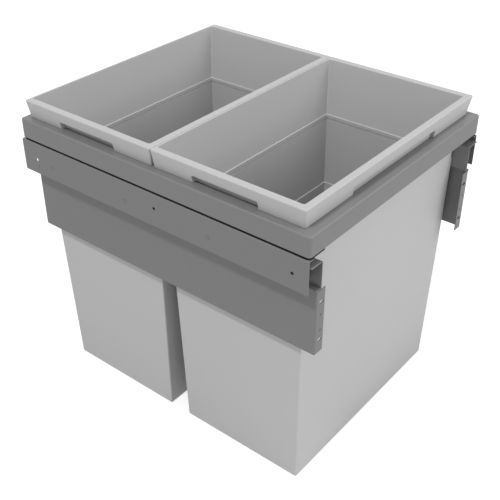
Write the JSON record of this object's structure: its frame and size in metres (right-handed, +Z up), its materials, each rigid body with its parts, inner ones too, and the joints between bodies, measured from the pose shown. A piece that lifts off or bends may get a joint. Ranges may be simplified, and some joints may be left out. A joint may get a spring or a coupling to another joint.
{
  "type": "pull-out waste bin unit",
  "caption": "Pull-out waste unit for a base cabinet: lift-out plastic bins hang in a moulded frame on full-extension ball-bearing side runners with door flanges.",
  "frame": {"origin": "under the middle of the unit, level with the undersides of the bins", "axes": "+Z up, +Y to the back of the cabinet, +X to the right seen from the door; the unit pulls out along -Y"},
  "size_m": [0.414, 0.5026, 0.456],
  "materials": {
    "bin_plastic": "light grey moulded polypropylene, fine satin texture",
    "frame_plastic": "mid grey moulded plastic, satin",
    "strip_plastic": "black moulded plastic",
    "coated_steel": "grey powder coat on sheet steel",
    "zinc_steel": "bright zinc plating",
    "cage_steel": "plain pressed steel with polished balls"
  },
  "bodies": {
    "rails": {"left_cabinet_rail": "coated_steel", "right_cabinet_rail": "coated_steel", "left_cabinet_slide_member": "zinc_steel", "right_cabinet_slide_member": "zinc_steel", "left_rail_rivet_1": "coated_steel", "left_rail_rivet_2": "coated_steel", "left_rail_rivet_3": "coated_steel", "right_rail_rivet_1": "coated_steel", "right_rail_rivet_2": "coated_steel", "right_rail_rivet_3": "coated_steel"},
    "outer_cages": {"left_outer_ball_cage": "cage_steel", "right_outer_ball_cage": "cage_steel"},
    "beams": {"left_intermediate_slide_member": "zinc_steel", "right_intermediate_slide_member": "zinc_steel"},
    "inner_cages": {"left_inner_ball_cage": "cage_steel", "right_inner_ball_cage": "cage_steel"},
    "carriage": {"bin_frame": "frame_plastic", "left_drawer_slide_member": "zinc_steel", "right_drawer_slide_member": "zinc_steel", "left_carriage_side": "coated_steel", "right_carriage_side": "coated_steel", "left_seat_strip": "strip_plastic", "right_seat_strip": "strip_plastic", "left_carriage_rivet_1": "coated_steel", "left_carriage_rivet_2": "coated_steel", "left_carriage_rivet_3": "coated_steel", "right_carriage_rivet_1": "coated_steel", "right_carriage_rivet_2": "coated_steel", "right_carriage_rivet_3": "coated_steel", "left_frame_screw_1": "zinc_steel", "left_frame_screw_2": "zinc_steel", "left_frame_screw_3": "zinc_steel", "right_frame_screw_1": "zinc_steel", "right_frame_screw_2": "zinc_steel", "right_frame_screw_3": "zinc_steel"},
    "front_bin": {"front_bin": "bin_plastic"},
    "rear_bin": {"rear_bin": "bin_plastic"}
  },
  "joints": [
    {"name": "carriage_slide", "type": "slide", "parent": "rails", "child": "carriage", "axis": [0, -1, 0], "range_m": [0, 0.48]},
    {"name": "outer_cage_roll", "type": "slide", "parent": "rails", "child": "outer_cages", "axis": [0, -1, 0], "range_m": [0, 0.12]},
    {"name": "beam_slide", "type": "slide", "parent": "rails", "child": "beams", "axis": [0, -1, 0], "range_m": [0, 0.24]},
    {"name": "inner_cage_roll", "type": "slide", "parent": "rails", "child": "inner_cages", "axis": [0, -1, 0], "range_m": [0, 0.36]},
    {"name": "front_bin_lift", "type": "slide", "parent": "carriage", "child": "front_bin", "axis": [0, 0, 1], "range_m": [0, 0.47]},
    {"name": "rear_bin_lift", "type": "slide", "parent": "carriage", "child": "rear_bin", "axis": [0, 0, 1], "range_m": [0, 0.47]}
  ],
  "couplings": [
    {"joint": "outer_cage_roll", "follows": "carriage_slide", "ratio": 0.25},
    {"joint": "beam_slide", "follows": "carriage_slide", "ratio": 0.5},
    {"joint": "inner_cage_roll", "follows": "carriage_slide", "ratio": 0.75}
  ]
}
